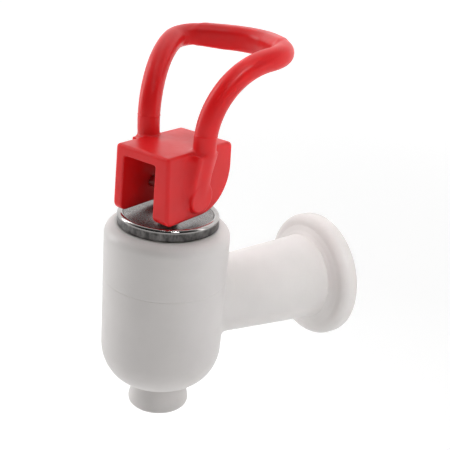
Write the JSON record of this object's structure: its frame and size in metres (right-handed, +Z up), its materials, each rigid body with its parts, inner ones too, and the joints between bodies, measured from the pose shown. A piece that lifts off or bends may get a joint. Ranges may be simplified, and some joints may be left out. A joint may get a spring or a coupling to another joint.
{
  "type": "water dispenser tap",
  "caption": "Lever tap for a water dispenser: white body with round wall flange and down spout, steel cap, red loop lever that lifts a sprung valve.",
  "frame": {"origin": "centre of the flange's back face, on the axis of the threaded inlet", "axes": "+Y into the dispenser's wall along the inlet's axis, +Z up along the barrel, front towards -Y"},
  "size_m": [0.0394, 0.064, 0.0926],
  "materials": {
    "white_plastic": "moulded white plastic, satin gloss",
    "red_plastic": "moulded red plastic, satin gloss",
    "natural_plastic": "uncoloured engineering plastic",
    "stainless": "drawn and brushed stainless sheet",
    "spring_steel": "stainless spring wire",
    "silicone": "translucent white silicone",
    "rubber": "black sealing rubber"
  },
  "bodies": {
    "tap": {"tap_body": "white_plastic", "inlet_gasket": "rubber", "bonnet_nut": "natural_plastic", "cap_cover": "stainless", "valve_diaphragm": "silicone", "return_spring": "spring_steel"},
    "lifter": {"spring_seat": "natural_plastic"},
    "stem": {"valve_stem": "natural_plastic", "pivot_pin": "stainless"},
    "lever": {"lever_handle": "red_plastic"}
  },
  "joints": [
    {"name": "stem_lift", "type": "slide", "parent": "tap", "child": "lifter", "axis": [0, 0, 1], "range_m": [0, 0.0036], "deforming": ["return_spring", "valve_diaphragm"]},
    {"name": "lever_swivel", "type": "hinge", "parent": "lifter", "child": "stem", "pos_m": [0, -0.049, 0.0225], "axis": [0, 0, 1], "continuous": true},
    {"name": "lever_tilt", "type": "hinge", "parent": "stem", "child": "lever", "pos_m": [0, -0.049, 0.0315], "axis": [0.9385, 0.3453, 0], "range_deg": [0, 30], "stiffness_Nm_per_rad": 0.03, "springref_deg": -68.75}
  ],
  "couplings": [
    {"joint": "lever_tilt", "follows": "stem_lift", "rad_per_m": 145}
  ]
}
